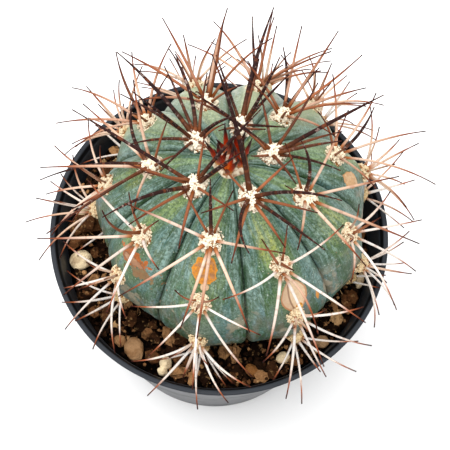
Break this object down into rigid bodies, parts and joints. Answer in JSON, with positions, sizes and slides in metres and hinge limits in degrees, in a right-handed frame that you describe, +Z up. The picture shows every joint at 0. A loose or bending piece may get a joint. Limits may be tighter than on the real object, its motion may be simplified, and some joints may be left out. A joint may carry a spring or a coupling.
{
  "type": "potted round cactus",
  "caption": "Round ribbed cactus with woolly spine cushions, growing in gritty soil in a plain round nursery pot.",
  "frame": {"origin": "middle of the pot's flat underside, on the surface that it stands on", "axes": "+Z up along the pot's axis, -Y towards the front of the picture, +X to its right"},
  "size_m": [0.1401, 0.136, 0.1744],
  "materials": {
    "pot": "satin",
    "soil": "matte",
    "stem": "satin",
    "crown": "matte",
    "areole": "matte",
    "stone": "matte"
  },
  "bodies": {
    "root": {"pot": "pot", "soil": "soil", "stem": "stem", "crown": "crown", "areole_w1_r2": "areole", "areole_w1_r4": "areole", "areole_w1_r6": "areole", "areole_w1_r8": "areole", "areole_w1_r10": "areole", "areole_w2_r1": "areole", "areole_w2_r3": "areole", "areole_w2_r5": "areole", "areole_w2_r7": "areole", "areole_w2_r9": "areole", "areole_w3_r2": "areole", "areole_w3_r4": "areole", "areole_w3_r6": "areole", "areole_w3_r8": "areole", "areole_w3_r10": "areole", "areole_w4_r1": "areole", "areole_w4_r3": "areole", "areole_w4_r5": "areole", "areole_w4_r7": "areole", "areole_w4_r9": "areole", "areole_w5_r2": "areole", "areole_w5_r4": "areole", "areole_w5_r6": "areole", "areole_w5_r8": "areole", "areole_w5_r10": "areole", "areole_w6_r1": "areole", "areole_w6_r3": "areole", "areole_w6_r5": "areole", "areole_w6_r7": "areole", "areole_w6_r9": "areole", "areole_w7_r2": "areole", "areole_w7_r4": "areole", "areole_w7_r6": "areole", "areole_w7_r8": "areole", "areole_w7_r10": "areole", "areole_w8_r1": "areole", "areole_w8_r3": "areole", "areole_w8_r5": "areole", "areole_w8_r7": "areole", "areole_w8_r9": "areole", "stone_1": "stone", "stone_2": "stone", "stone_3": "stone", "stone_4": "stone", "stone_5": "stone", "stone_6": "stone", "stone_7": "stone", "stone_8": "stone", "stone_9": "stone", "stone_10": "stone"}
  },
  "joints": []
}
